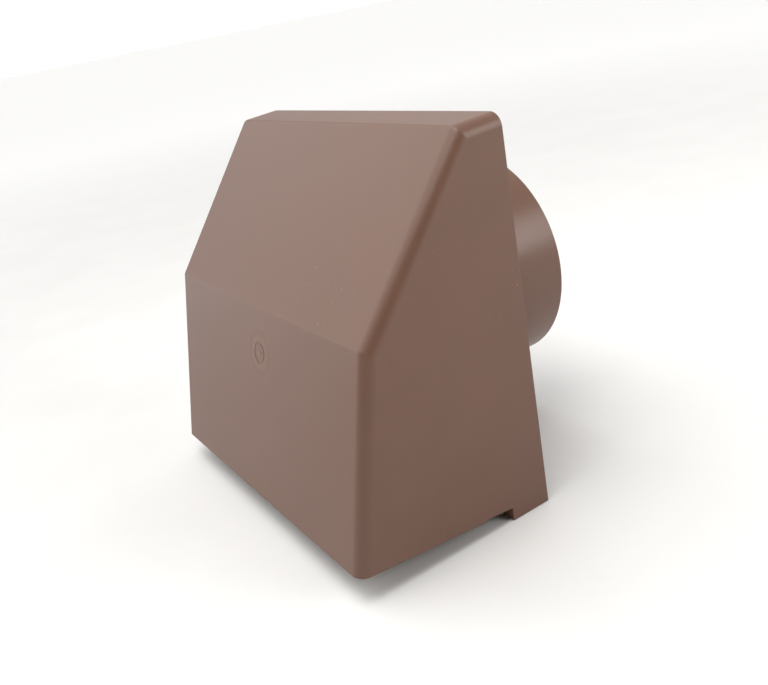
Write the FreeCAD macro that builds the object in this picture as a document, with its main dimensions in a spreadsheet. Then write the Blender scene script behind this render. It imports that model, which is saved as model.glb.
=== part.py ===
"""Wall cowl vent: a moulded hood over a back plate with a round duct spigot and a gravity flap.

Frame: millimetres, +Z up. The origin is where the duct axis meets the wall plane. The hood stands
out from the wall towards -Y, the spigot goes into the wall towards +Y, and X is the vent's width.
"""
import FreeCAD, Part
import math
import os

import Sketcher

os.makedirs("parts", exist_ok=True)
document = FreeCAD.newDocument("CowlVent")

# ---------------------------------------------------------------- driving sizes, in mm and degrees
SIZES = [
    # hood, outside
    ("hood_width", 170.0),          # at the wall plane
    ("top_height", 80.5),           # hood's top edge at the wall, above the duct axis
    ("foot_drop", 74.5),            # underside of the foot, below the duct axis
    ("side_draft", 1.32),           # each side leans in towards the front, degrees
    ("top_depth", 17.5),            # wall to the edge between top and roof slope
    ("top_fall", 0.9),              # how far the top drops over that depth
    ("crease_depth", 68.0),         # wall to the crease between roof slope and front
    ("crease_height", 17.8),        # crease above the duct axis
    ("lip_depth", 88.4),            # wall to the front's lower edge
    ("lip_drop", 62.7),             # that edge, below the duct axis
    ("foot_depth", 18.3),           # wall to the front of the foot
    ("mouth_rear_drop", 69.5),      # side walls' lower edge just in front of the foot
    ("relief_length", 12.7),        # prising relief in each side wall, in front of the foot
    ("relief_height", 0.8),
    ("hood_wall", 2.5),
    ("side_radius", 5.2),           # rounding of the edges along both sides
    ("brow_radius", 2.6),           # rounding between top and roof slope
    ("crease_radius", 3.0),
    # moulding gate's witness ring on the front
    ("gate_drop", 19.0),            # down the front from the crease
    ("gate_offset", 4.0),           # to the right of the middle
    ("gate_radius", 4.6),
    ("gate_ring", 0.7),
    ("gate_nub", 1.0),
    ("gate_depth", 0.12),
    # back plate and duct spigot
    ("plate_gap", 0.3),             # round the plate, inside the hood
    ("plate_thickness", 3.5),
    ("plate_corner", 4.0),
    ("flange_depth", 11.0),         # wall plane to the front edge of the plate's flange
    ("flange_wall", 2.2),
    ("spigot_radius", 49.0),        # outside, for a 100 mm duct
    ("spigot_wall", 2.5),
    ("spigot_length", 55.0),        # beyond the wall plane
    ("spigot_chamfer", 1.0),
    # wall screws' holes in the back plate
    ("wall_hole_radius", 2.5),
    ("wall_hole_inset", 5.0),       # inside the gasket, in X and in Z
    # foam gasket between plate and wall
    ("gasket_inset", 3.0),
    ("gasket_width", 6.0),
    ("gasket_depth", 1.8),
    # hooks that hang the hood on the plate
    ("hook_offset", 50.0),          # centre of each hook from the middle
    ("hook_width", 12.0),
    ("hook_reach", 5.0),            # in front of the flange
    ("hook_plate", 1.6),
    ("hook_lip", 2.0),              # the lip's height above the tongue
    ("hook_gap", 0.5),
    # hood's screws, from below through the foot
    ("screw_offset", 55.0),
    ("screw_depth", 7.5),           # wall plane to the screws' axis
    ("hood_screw_radius", 2.0),
    ("hood_screw_length", 14.0),
    ("hood_head_radius", 3.8),
    ("hood_head_height", 2.1),
    ("washer_radius", 4.6),
    ("washer_thickness", 0.8),
    ("counterbore_radius", 5.2),
    ("counterbore_depth", 3.0),
    ("foot_boss_radius", 7.2),
    ("plate_boss_radius", 4.8),
    ("plate_boss_height", 12.0),
    ("insert_wall", 0.8),
    ("insert_length", 8.0),
    ("thread_clearance", 0.05),
    # flap's seat, leaning so that the flap falls shut
    ("seat_lean", 4.0),             # degrees from upright
    ("seat_stand", 9.5),            # wall plane to the seat, on the duct axis
    ("seat_width", 3.0),
    ("seal_thickness", 1.5),
    ("seal_gap", 0.05),
    # flap
    ("flap_overhang", 1.0),         # the flap's edge beyond the seat
    ("flap_open", 34.0),            # how far it swings, degrees
    ("flap_thickness", 1.8),
    ("rib_height", 1.4),
    ("rib_width", 1.6),
    ("rim_rib_inset", 2.5),         # inside the duct's bore
    ("weight_inset", 9.0),          # inside the rim rib
    ("weight_length", 28.0),
    ("weight_height", 6.0),
    ("weight_thickness", 2.5),
    ("weight_gap", 0.1),
    # hinge
    ("hinge_gap", 4.0),             # flap's edge to the hinge line
    ("pin_radius", 1.5),
    ("pin_overhang", 2.6),          # beyond each lug
    ("pin_grip", 0.02),             # round the pin in its lugs and clips
    ("bush_clearance", 0.05),
    ("bush_wall", 0.8),
    ("bush_flange", 0.6),
    ("knuckle_wall", 1.1),
    ("knuckle_inner", 12.0),        # middle to the near end of each knuckle
    ("knuckle_length", 11.0),
    ("lug_gap", 0.9),               # knuckle to lug
    ("lug_thickness", 3.0),
    ("lug_margin", 2.6),            # lug beyond the pin
    ("lug_flat", 0.4),              # the nose's flats, as a share of the lug's reach round the pin
    ("lug_flare", 1.2),             # the lug's half height at the plate, as the same share
    ("clip_radius", 3.4),
    ("clip_thickness", 0.6),
    ("clip_gap", 0.1),              # lug to clip
    # rubber buffers on the front wall, where the open flap comes to rest
    ("buffer_offset", 20.0),
    ("buffer_lead", 2.0),           # buffer's middle above the open flap's edge
    ("buffer_radius", 5.0),
    ("buffer_height", 3.4),
    ("buffer_round", 1.2),
    # grille, insect screen and its frame, in the mouth
    ("mouth_recess", 2.4),          # grille's underside above the mouth's edge
    ("grille_gap", 0.5),
    ("grille_thickness", 3.0),
    ("grille_rim", 10.0),
    ("grille_corner", 3.0),
    ("bar_width", 3.0),
    ("slot_width", 7.5),
    ("screen_thickness", 0.5),
    ("screen_inset", 1.0),
    ("frame_thickness", 2.0),
    ("frame_width", 10.0),
    ("lug_block", 9.0),
    ("lug_block_height", 9.0),
    ("grille_screw_inset", 5.0),
    ("screw_clearance", 0.3),       # round a screw in a plain hole
    ("grille_screw_radius", 1.5),
    ("grille_screw_length", 12.0),
    ("grille_head_radius", 2.8),
    ("grille_head_height", 1.8),
    ("recess_depth", 1.2),          # cross recess in every screw's head
    ("recess_width", 0.25),         # as a share of the head's radius
]

sheet = document.addObject("Spreadsheet::Sheet", "Sizes")
for row, (alias, size) in enumerate(SIZES, start=1):
    sheet.set(f"A{row}", alias)
    sheet.set(f"B{row}", str(size))
    sheet.setAlias(f"B{row}", alias)
document.recompute()


class Size:
    """Reads a driving size from the sheet, as size.hood_width."""

    def __getattr__(self, alias):
        return float(getattr(sheet, alias))


size = Size()
MARGIN = 2.0                        # how far a cutting shape runs past what it cuts
REACH = "2"                         # the same, in a formula
NEAR = 0.1                          # how close an edge must be to the place it is looked for


# ---------------------------------------------------------------- formulas shared by mating pieces
def named(formula):
    """Puts the sheet's name before every size in a formula."""
    words = []
    word = ""
    for letter in formula + " ":
        if letter.isalnum() or letter == "_":
            word += letter
            continue
        words.append("Sizes." + word if word in ALIASES else word)
        words.append(letter)
        word = ""
    return "".join(words).strip()


ALIASES = {alias for alias, _ in SIZES}

FLANGE_HALF = "(hood_width / 2 - flange_depth * tan(side_draft) - hood_wall - plate_gap)"
PLATE_TOP = "(top_height - top_fall * flange_depth / top_depth - hood_wall - plate_gap)"
PLATE_BOTTOM = "(foot_drop - counterbore_depth - hood_wall)"        # below the duct axis
PLATE_ROOT = "((plate_thickness + gasket_depth) / 2)"               # where parts grow from the plate
SPIGOT_BORE = "(spigot_radius - spigot_wall)"
SEAT_OUTER = "(spigot_radius - spigot_wall + seat_width)"
FLAP_RADIUS = "(spigot_radius - spigot_wall + seat_width + flap_overhang)"
HINGE_RISE = "(spigot_radius - spigot_wall + seat_width + flap_overhang + hinge_gap)"
RIM_RADIUS = "(spigot_radius - spigot_wall - rim_rib_inset)"
WEIGHT_DROP = "(spigot_radius - spigot_wall - rim_rib_inset - weight_inset)"
FLAP_MIDDLE = "(seal_thickness + seal_gap + flap_thickness / 2)"    # in front of the seat
HINGE_FORWARD = f"(seat_stand + {FLAP_MIDDLE} * cos(seat_lean) - {HINGE_RISE} * sin(seat_lean))"
HINGE_HEIGHT = f"({FLAP_MIDDLE} * sin(seat_lean) + {HINGE_RISE} * cos(seat_lean))"
LUG_INNER = "(knuckle_inner + knuckle_length + lug_gap)"
LUG_OUTER = "(knuckle_inner + knuckle_length + lug_gap + lug_thickness)"
BUSH_RADIUS = "(pin_radius + bush_clearance + bush_wall)"
KNUCKLE_RADIUS = "(pin_radius + bush_clearance + bush_wall + knuckle_wall)"
GASKET_HALF = f"({FLANGE_HALF} - gasket_inset)"
GASKET_TOP = f"({PLATE_TOP} - gasket_inset)"
GASKET_BOTTOM = f"({PLATE_BOTTOM} - gasket_inset)"
WALL_HOLE_HALF = f"({GASKET_HALF} - gasket_width - wall_hole_inset)"
WALL_HOLE_TOP = f"({GASKET_TOP} - gasket_width - wall_hole_inset)"
WALL_HOLE_BOTTOM = f"({GASKET_BOTTOM} - gasket_width - wall_hole_inset)"
INSERT_RADIUS = "(hood_screw_radius + thread_clearance + insert_wall)"


def mouth_slope():
    """Angle of the mouth's plane, rising towards the front, in degrees."""
    rise = size.mouth_rear_drop - size.lip_drop
    return math.degrees(math.atan2(rise, size.lip_depth - size.foot_depth))


def front_slope():
    """Angle of the hood's front from upright, in degrees."""
    return math.degrees(math.atan2(size.lip_depth - size.crease_depth,
                                   size.lip_drop + size.crease_height))


def mouth_length():
    return math.hypot(size.lip_depth - size.foot_depth, size.mouth_rear_drop - size.lip_drop)


# ---------------------------------------------------------------- ways of working
def new_body(label):
    body = document.addObject("PartDesign::Body", label)
    body.Label = label
    return body


def new_sketch(body, name, role):
    plane = next(item for item in body.Origin.OriginFeatures if item.Role == role)
    sketch = body.newObject("Sketcher::SketchObject", name)
    sketch.AttachmentSupport = (plane, [""])
    sketch.MapMode = "FlatFace"
    return sketch


def pin_down(sketch, kind, geometry, point, formula):
    """Ties one coordinate of a sketch point to a formula of the sheet."""
    index = sketch.addConstraint(Sketcher.Constraint(kind, -1, 1, geometry, point, 1.0))
    sketch.setExpression(f"Constraints[{index}]", named(formula))


def add_polygon(sketch, corners):
    """A closed outline of straight sides through corners given as pairs of formulas."""
    first = sketch.GeometryCount
    count = len(corners)
    start = [FreeCAD.Vector(10 * math.cos(math.tau * i / count), 10 * math.sin(math.tau * i / count), 0)
             for i in range(count)]
    for i in range(count):
        sketch.addGeometry(Part.LineSegment(start[i], start[(i + 1) % count]))
    for i in range(count):
        following = first + (i + 1) % count
        sketch.addConstraint(Sketcher.Constraint("Coincident", first + i, 2, following, 1))
    for i, (across, up) in enumerate(corners):
        pin_down(sketch, "DistanceX", first + i, 1, across)
        pin_down(sketch, "DistanceY", first + i, 1, up)


def add_rectangle(sketch, left, right, bottom, top):
    add_polygon(sketch, [(left, bottom), (right, bottom), (right, top), (left, top)])


def add_circle(sketch, across, up, radius):
    circle = sketch.addGeometry(Part.Circle(FreeCAD.Vector(1, 1, 0), FreeCAD.Vector(0, 0, 1), 5.0))
    pin_down(sketch, "DistanceX", circle, 3, across)
    pin_down(sketch, "DistanceY", circle, 3, up)
    index = sketch.addConstraint(Sketcher.Constraint("Radius", circle, 5.0))
    sketch.setExpression(f"Constraints[{index}]", named(radius))


def extrude(body, kind, name, sketch, length, both_ways=False, reverse=False):
    """A Pad or a Pocket of a sketch; the length is a formula."""
    feature = body.newObject(f"PartDesign::{kind}", name)
    feature.Profile = sketch
    feature.SideType = "Symmetric" if both_ways else "One side"
    feature.Reversed = reverse
    feature.setExpression("Length", named(length))
    sketch.Visibility = False
    document.recompute()
    return feature


def edges_where(shape, wanted):
    return [f"Edge{i}" for i, edge in enumerate(shape.Edges, start=1) if wanted(edge)]


def fillet(body, name, base, edges, radius):
    feature = body.newObject("PartDesign::Fillet", name)
    feature.Base = (base, edges)
    feature.setExpression("Radius", named(radius))
    document.recompute()
    return feature


def primitive(kind, name, sizes, placement):
    """A Part primitive whose sizes are formulas, put at a placement."""
    item = document.addObject(f"Part::{kind}", name)
    for key, formula in sizes.items():
        item.setExpression(key, named(formula))
    item.Placement = placement
    return item


def join(label, items):
    result = document.addObject("Part::MultiFuse", label)
    result.Label = label
    result.Shapes = items
    document.recompute()
    return result


def cut(label, base, tools):
    """Takes the tools away from the base."""
    result = document.addObject("Part::Cut", label)
    result.Label = label
    result.Base = base
    result.Tool = tools[0] if len(tools) == 1 else join(label + "_tools", tools)
    document.recompute()
    return result


def group(label, items):
    """Several separate solids of one node."""
    result = document.addObject("Part::Compound", label)
    result.Label = label
    result.Links = items
    document.recompute()
    return result


def at(x, y, z, axis=(0, 0, 1), angle=0.0):
    return FreeCAD.Placement(FreeCAD.Vector(x, y, z), FreeCAD.Rotation(FreeCAD.Vector(*axis), angle))


ALONG_X = FreeCAD.Rotation(FreeCAD.Vector(0, 1, 0), 90)


def seat_frame():
    """The flap's own frame: its seat is the XZ plane, on the duct axis, leaning out at the bottom."""
    return at(0, -size.seat_stand, 0, (1, 0, 0), -size.seat_lean)


def mouth_frame():
    """The grille's own frame: the mouth's plane is the XY plane, from the foot forwards."""
    return at(0, -size.foot_depth, -size.mouth_rear_drop, (1, 0, 0), -mouth_slope())


def front_frame(down_from_crease):
    """A frame on the hood's front face: Z points out of it and -Y down it."""
    slope = math.radians(front_slope())
    y = -size.crease_depth - down_from_crease * math.sin(slope)
    z = size.crease_height - down_from_crease * math.cos(slope)
    return at(0, y, z, (1, 0, 0), 90 - front_slope())


def buffer_frame(side):
    """A frame on the inside of the hood's front, where the open flap's edge meets a buffer.

    Its Z points into the hood.
    """
    swung = math.radians(size.seat_lean + size.flap_open)
    edge_reach = hinge_rise() + math.sqrt(flap_radius() ** 2 - size.buffer_offset ** 2)
    hinge_height = hinge_rise() * math.cos(math.radians(size.seat_lean))
    drop = edge_reach * math.cos(swung) - hinge_height - size.buffer_lead
    slope = math.radians(front_slope())
    outside = size.crease_depth + (size.crease_height + drop) * math.tan(slope)
    inside = outside - size.hood_wall / math.cos(slope)
    return at(side * size.buffer_offset, -inside, -drop, (1, 0, 0), -90 - front_slope())


def flap_radius():
    return size.spigot_radius - size.spigot_wall + size.seat_width + size.flap_overhang


def hinge_rise():
    """Duct axis to the hinge line, along the seat."""
    return flap_radius() + size.hinge_gap


# ---------------------------------------------------------------- grille's place in the mouth
FRONT_LEAN = "atan((lip_depth - crease_depth) / (crease_height + lip_drop))"
MOUTH_TILT = "atan((mouth_rear_drop - lip_drop) / (lip_depth - foot_depth))"
STACK = "(mouth_recess + grille_thickness + screen_thickness + frame_thickness)"
GRILLE_FRONT = (f"(hypot(lip_depth - foot_depth; mouth_rear_drop - lip_drop)"
                f" - hood_wall / cos({FRONT_LEAN} + {MOUTH_TILT})"
                f" - {STACK} * tan({FRONT_LEAN} + {MOUTH_TILT}) - grille_gap)")
GRILLE_SIDE = "(hood_width / 2 - hood_wall / cos(side_draft) - grille_gap)"
REAR_HALF = f"({GRILLE_SIDE} - foot_depth * tan(side_draft))"
FRONT_HALF = f"({GRILLE_SIDE} - lip_depth * tan(side_draft))"


def plate_top():
    fall = size.top_fall * size.flange_depth / size.top_depth
    return size.top_height - fall - size.hood_wall - size.plate_gap


def grille_corner(side, front):
    """One corner of the grille's outline, in the mouth's frame."""
    lean = math.radians(front_slope() + mouth_slope())
    stack = (size.mouth_recess + size.grille_thickness + size.screen_thickness
             + size.frame_thickness)
    draft = math.tan(math.radians(size.side_draft))
    half = size.hood_width / 2 - size.hood_wall / math.cos(math.radians(size.side_draft)) - size.grille_gap
    if front:
        reach = mouth_length() - size.hood_wall / math.cos(lean) - stack * math.tan(lean) - size.grille_gap
        return side * (half - size.lip_depth * draft), -reach
    return side * (half - size.foot_depth * draft), -size.grille_gap


def grille_screw_point(side, front):
    x, y = grille_corner(side, front)
    inward = size.grille_screw_inset
    return x - side * inward, y + (inward if front else -inward)


def grille_screw_frame(side, front):
    """Where a grille screw's head meets the grille's underside; the screw points up, along Z."""
    x, y = grille_screw_point(side, front)
    return mouth_frame() * at(x, y, size.mouth_recess)


def lug_corner(side, front):
    """The lowest corner of a screw block, which runs into the hood's side wall."""
    x, y = grille_screw_point(side, front)
    stack = (size.mouth_recess + size.grille_thickness + size.screen_thickness
             + size.frame_thickness)
    inner = x - side * size.lug_block / 2
    outer = inner + side * (size.lug_block + size.hood_wall / 2)
    return FreeCAD.Vector(min(inner, outer), y - size.lug_block / 2, stack)


# ---------------------------------------------------------------- hood
TOP_TILT = "atan(top_fall / top_depth)"                 # faces' angles from level
ROOF_TILT = "atan((top_height - top_fall - crease_height) / (crease_depth - top_depth))"
FRONT_TILT = "atan((crease_height + lip_drop) / (lip_depth - crease_depth))"


def inside_corner(y, z, tilt_above, tilt_below):
    """Where two faces meet inside the wall, from where they meet outside."""
    middle = f"(({tilt_above} + {tilt_below}) / 2)"
    spread = f"(({tilt_below} - {tilt_above}) / 2)"
    return (f"{y} + hood_wall * sin{middle} / cos{spread}",
            f"{z} - hood_wall * cos{middle} / cos{spread}")


def hood_form(label, corners, half, rounding):
    """A solid with the hood's side outline, tapered towards the front, its long edges rounded."""
    body = new_body(label)
    profile = new_sketch(body, label + "_outline", "YZ_Plane")
    add_polygon(profile, corners)
    extrude(body, "Pad", label + "_block", profile, "hood_width", both_ways=True)

    flanks = new_sketch(body, label + "_flanks", "XY_Plane")
    for side in ("", "-"):
        add_polygon(flanks, [(f"{side}({half} + {REACH} * tan(side_draft))", f"{REACH}"),
                             (f"{side}(hood_width / 2 + {REACH})", f"{REACH}"),
                             (f"{side}(hood_width / 2 + {REACH})", f"-(lip_depth + {REACH})"),
                             (f"{side}({half} - (lip_depth + {REACH}) * tan(side_draft))",
                              f"-(lip_depth + {REACH})")])
    tapered = extrude(body, "Pocket", label + "_draft", flanks,
                      f"2 * (top_height + foot_drop + {REACH})", both_ways=True)

    def along_side(edge):
        """A long edge between a side and the top, the roof slope or the front."""
        middle = edge.CenterOfMass
        beside = abs(middle.x) > size.hood_width / 4
        over_roof = middle.z > size.crease_height and middle.y < -MARGIN
        down_front = middle.z > -size.lip_drop and middle.y < -size.crease_depth
        return beside and (over_roof or down_front)

    rounded = fillet(body, label + "_side_round", tapered,
                     edges_where(tapered.Shape, along_side), rounding)
    return body, rounded


def make_hood():
    outside = [("0", "top_height"), ("-top_depth", "top_height - top_fall"),
               ("-crease_depth", "crease_height"), ("-lip_depth", "-lip_drop"),
               ("-foot_depth", "-mouth_rear_drop"), ("-foot_depth", "-foot_drop"),
               ("0", "-foot_drop")]
    block, rounded = hood_form("hood_block", outside, "hood_width / 2", "side_radius")

    def across_at(depth, height):
        """Finds the edge that runs across the hood at a depth and a height."""
        def found(edge):
            middle = edge.CenterOfMass
            return math.hypot(middle.x, middle.y + depth, middle.z - height) < NEAR
        return found

    brow = edges_where(rounded.Shape, across_at(size.top_depth, size.top_height - size.top_fall))
    rounded = fillet(block, "hood_brow_round", rounded, brow, "brow_radius")
    crease = edges_where(rounded.Shape, across_at(size.crease_depth, size.crease_height))
    fillet(block, "hood_crease_round", rounded, crease, "crease_radius")

    below = f"(mouth_rear_drop + {REACH})"
    inside = [(f"{REACH}", f"top_height + {REACH} * tan({TOP_TILT}) - hood_wall / cos({TOP_TILT})"),
              inside_corner("-top_depth", "top_height - top_fall", TOP_TILT, ROOF_TILT),
              inside_corner("-crease_depth", "crease_height", ROOF_TILT, FRONT_TILT),
              (f"-lip_depth - ({below} - lip_drop) / tan({FRONT_TILT}) + hood_wall / sin({FRONT_TILT})",
               f"-{below}"),
              ("-foot_depth", f"-{below}"), ("-foot_depth", "-mouth_rear_drop"),
              ("hood_wall - foot_depth", "-mouth_rear_drop"),
              ("hood_wall - foot_depth", "hood_wall - foot_drop"),
              (f"{REACH}", "hood_wall - foot_drop")]
    core, _ = hood_form("hood_core", inside, "(hood_width / 2 - hood_wall / cos(side_draft))",
                        "side_radius - hood_wall")
    shell = cut("hood_shell", block, [core])

    added = []
    removed = []
    for side in (-1, 1):
        # foot boss, with its screw's hole and counterbore
        under = at(side * size.screw_offset, -size.screw_depth, -size.foot_drop)
        added.append(primitive("Cylinder", "foot_boss", {"Radius": "foot_boss_radius",
                                                        "Height": "counterbore_depth + hood_wall"}, under))
        low = at(under.Base.x, under.Base.y, under.Base.z - MARGIN)
        removed.append(primitive("Cylinder", "counterbore", {"Radius": "counterbore_radius",
                                                            "Height": f"counterbore_depth + {REACH}"}, low))
        removed.append(primitive("Cylinder", "foot_hole",
                                 {"Radius": "hood_screw_radius + screw_clearance",
                                  "Height": f"counterbore_depth + hood_wall + 2 * {REACH}"}, low))
        # rib that drops behind the back plate's hook
        rib_left = side * size.hook_offset - size.hook_width / 2 - size.hook_lip
        rib_front = size.flange_depth + size.hook_reach - size.hook_plate - size.hook_gap
        rib_low = plate_top() - size.hook_lip + size.hook_gap
        added.append(primitive("Box", "hook_rib",
                               {"Length": "hook_width + 2 * hook_lip",
                                "Width": "hook_reach - hook_plate - 2 * hook_gap",
                                "Height": "hook_lip - hook_gap + plate_gap + hood_wall / 2"},
                               at(rib_left, -rib_front, rib_low)))
        # blocks that take the grille's screws
        for front in (False, True):
            block_at = mouth_frame() * FreeCAD.Placement(
                lug_corner(side, front), FreeCAD.Rotation())
            added.append(primitive("Box", "grille_lug",
                                   {"Length": "lug_block + hood_wall / 2", "Width": "lug_block",
                                    "Height": "lug_block_height"}, block_at))
            removed.append(primitive("Cylinder", "grille_pilot",
                                     {"Radius": "grille_screw_radius + thread_clearance",
                                      "Height": "grille_screw_length + thread_clearance"},
                                     grille_screw_frame(side, front)))

    # prising relief in the lower edge of both sides
    removed.append(primitive("Box", "prising_relief",
                             {"Length": f"hood_width + 2 * {REACH}", "Width": "relief_length",
                              "Height": f"relief_height + {REACH}"},
                             mouth_frame() * at(-size.hood_width / 2 - MARGIN, -size.relief_length,
                                                -MARGIN)))
    # gate's witness: a shallow ring round a low nub
    ring_at = front_frame(size.gate_drop) * at(size.gate_offset, 0, -size.gate_depth)
    ring = primitive("Cylinder", "gate_outer", {"Radius": "gate_radius",
                                                "Height": f"gate_depth + {REACH}"}, ring_at)
    ring_core = primitive("Cylinder", "gate_inner", {"Radius": "gate_radius - gate_ring",
                                                     "Height": f"gate_depth + {REACH}"}, ring_at)
    removed.append(cut("gate_witness", ring, [ring_core]))
    added.append(primitive("Cylinder", "gate_nub", {"Radius": "gate_nub", "Height": "2 * gate_depth"},
                           ring_at))
    return cut("cowl_hood", join("hood_with_bosses", [shell] + added), removed)


# ---------------------------------------------------------------- back plate
def make_back_plate():
    body = new_body("plate_body")
    outline = new_sketch(body, "PlateOutline", "XZ_Plane")
    add_rectangle(outline, f"-{FLANGE_HALF}", FLANGE_HALF, f"-{PLATE_BOTTOM}", PLATE_TOP)
    extrude(body, "Pad", "Plate", outline, "plate_thickness")

    flange = new_sketch(body, "FlangeOutline", "XZ_Plane")
    add_rectangle(flange, f"-{FLANGE_HALF}", FLANGE_HALF, f"-{PLATE_BOTTOM}", PLATE_TOP)
    add_rectangle(flange, f"-({FLANGE_HALF} - flange_wall)", f"{FLANGE_HALF} - flange_wall",
                  f"-({PLATE_BOTTOM} - flange_wall)", f"{PLATE_TOP} - flange_wall")
    flanged = extrude(body, "Pad", "Flange", flange, "flange_depth")

    def outer_corner(edge):
        middle = edge.CenterOfMass
        along_y = abs(edge.Vertexes[0].Y - edge.Vertexes[-1].Y) > size.plate_thickness
        at_side = abs(abs(middle.x) - flange_half()) < NEAR
        at_top = abs(middle.z - plate_top()) < NEAR
        at_bottom = abs(middle.z + plate_bottom()) < NEAR
        return along_y and at_side and (at_top or at_bottom)

    fillet(body, "PlateCorners", flanged, edges_where(flanged.Shape, outer_corner), "plate_corner")

    spigot = new_sketch(body, "SpigotRing", "XZ_Plane")
    add_circle(spigot, "0", "0", "spigot_radius")
    extrude(body, "Pad", "Spigot", spigot, "spigot_length", reverse=True)
    collar = new_sketch(body, "CollarRing", "XZ_Plane")
    add_circle(collar, "0", "0", SEAT_OUTER)
    extrude(body, "Pad", "SeatCollar", collar, f"seat_stand + {SEAT_OUTER} * tan(seat_lean) + {REACH}")

    seat = new_sketch(body, "SeatSlope", "YZ_Plane")
    high = f"({SEAT_OUTER} + {REACH})"
    add_polygon(seat, [(f"-(seat_stand - {high} * tan(seat_lean))", high),
                       (f"-(seat_stand + {high} * tan(seat_lean))", f"-{high}"),
                       ("-3 * seat_stand", f"-{high}"), ("-3 * seat_stand", high)])
    extrude(body, "Pocket", "SeatCut", seat, f"2 * ({SEAT_OUTER} + {REACH})", both_ways=True)

    bore = new_sketch(body, "DuctBore", "XZ_Plane")
    add_circle(bore, "0", "0", SPIGOT_BORE)
    bored = extrude(body, "Pocket", "Bore", bore, f"2 * (spigot_length + {REACH})", both_ways=True)

    def spigot_end(edge):
        middle = edge.CenterOfMass
        return (abs(middle.y - size.spigot_length) < NEAR
                and edge.BoundBox.XLength > 2 * size.spigot_radius - NEAR)

    chamfer = body.newObject("PartDesign::Chamfer", "SpigotChamfer")
    chamfer.Base = (bored, edges_where(bored.Shape, spigot_end))
    chamfer.setExpression("Size", named("spigot_chamfer"))
    document.recompute()

    # lugs for the flap's hinge pin
    lug = new_sketch(body, "LugOutline", "YZ_Plane")
    reach = "(pin_radius + lug_margin)"
    flat = f"(lug_flat * {reach})"              # half of each face of the lug's cut-off nose
    flared = f"(lug_flare * {reach})"
    root = f"-{PLATE_ROOT}"
    add_polygon(lug, [(root, f"{HINGE_HEIGHT} - {flared}"),
                      (f"-({HINGE_FORWARD} + {flat})", f"{HINGE_HEIGHT} - {reach}"),
                      (f"-({HINGE_FORWARD} + {reach})", f"{HINGE_HEIGHT} - {flat}"),
                      (f"-({HINGE_FORWARD} + {reach})", f"{HINGE_HEIGHT} + {flat}"),
                      (f"-({HINGE_FORWARD} + {flat})", f"{HINGE_HEIGHT} + {reach}"),
                      (root, f"{HINGE_HEIGHT} + {flared}")])
    extrude(body, "Pad", "Lugs", lug, f"2 * {LUG_OUTER}", both_ways=True)
    between = new_sketch(body, "LugGap", "YZ_Plane")
    add_rectangle(between, f"-({HINGE_FORWARD} + {reach} + {REACH})", "-plate_thickness",
                  f"{HINGE_HEIGHT} - {flared}", f"{HINGE_HEIGHT} + {flared}")
    extrude(body, "Pocket", "LugSlot", between, f"2 * {LUG_INNER}", both_ways=True)
    pin_hole = new_sketch(body, "PinHole", "YZ_Plane")
    add_circle(pin_hole, f"-{HINGE_FORWARD}", HINGE_HEIGHT, "pin_radius + pin_grip")
    extrude(body, "Pocket", "PinBore", pin_hole, f"2 * ({LUG_OUTER} + {REACH})", both_ways=True)

    # wall screws' holes and the gasket's groove, from the wall side
    holes = new_sketch(body, "WallHoles", "XZ_Plane")
    for side in ("-", ""):
        add_circle(holes, f"{side}{WALL_HOLE_HALF}", WALL_HOLE_TOP, "wall_hole_radius")
        add_circle(holes, f"{side}{WALL_HOLE_HALF}", f"-{WALL_HOLE_BOTTOM}", "wall_hole_radius")
    extrude(body, "Pocket", "WallScrewHoles", holes, f"2 * (plate_thickness + {REACH})", both_ways=True)
    groove = new_sketch(body, "GasketGroove", "XZ_Plane")
    add_rectangle(groove, f"-{GASKET_HALF}", GASKET_HALF, f"-{GASKET_BOTTOM}", GASKET_TOP)
    add_rectangle(groove, f"-({GASKET_HALF} - gasket_width)", f"{GASKET_HALF} - gasket_width",
                  f"-({GASKET_BOTTOM} - gasket_width)", f"{GASKET_TOP} - gasket_width")
    extrude(body, "Pocket", "Groove", groove, "2 * gasket_depth", both_ways=True)

    added = []
    removed = []
    for side in (-1, 1):
        foot = at(side * size.screw_offset, -size.screw_depth, -plate_bottom())
        added.append(primitive("Cylinder", "insert_boss", {"Radius": "plate_boss_radius",
                                                          "Height": "plate_boss_height"}, foot))
        removed.append(primitive("Cylinder", "insert_hole",
                                 {"Radius": f"{INSERT_RADIUS} + thread_clearance",
                                  "Height": "insert_length"}, foot))
        removed.append(primitive("Cylinder", "screw_tip_room",
                                 {"Radius": "hood_screw_radius + screw_clearance",
                                  "Height": "hood_screw_length - washer_thickness - hood_wall"
                                            " + thread_clearance"}, foot))
        left = side * size.hook_offset - size.hook_width / 2
        front = size.flange_depth + size.hook_reach
        tongue_top = plate_top() - size.hook_lip
        added.append(primitive("Box", "hook_tongue",
                               {"Length": "hook_width", "Height": "hook_plate",
                                "Width": f"flange_depth + hook_reach - {PLATE_ROOT}"},
                               at(left, -front, tongue_top - size.hook_plate)))
        added.append(primitive("Box", "hook_lip",
                               {"Length": "hook_width", "Width": "hook_plate",
                                "Height": "hook_plate + hook_lip - hook_gap"},
                               at(left, -front, tongue_top - size.hook_plate)))
        added.append(primitive("Box", "hook_root",
                               {"Length": "hook_width", "Width": f"flange_depth - {PLATE_ROOT}",
                                "Height": "hook_lip"}, at(left, -size.flange_depth, tongue_top)))
    return cut("back_plate", join("plate_with_hooks", [body] + added), removed)


def flange_half():
    draft = size.flange_depth * math.tan(math.radians(size.side_draft))
    return size.hood_width / 2 - draft - size.hood_wall - size.plate_gap


def plate_bottom():
    return size.foot_drop - size.counterbore_depth - size.hood_wall


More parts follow.
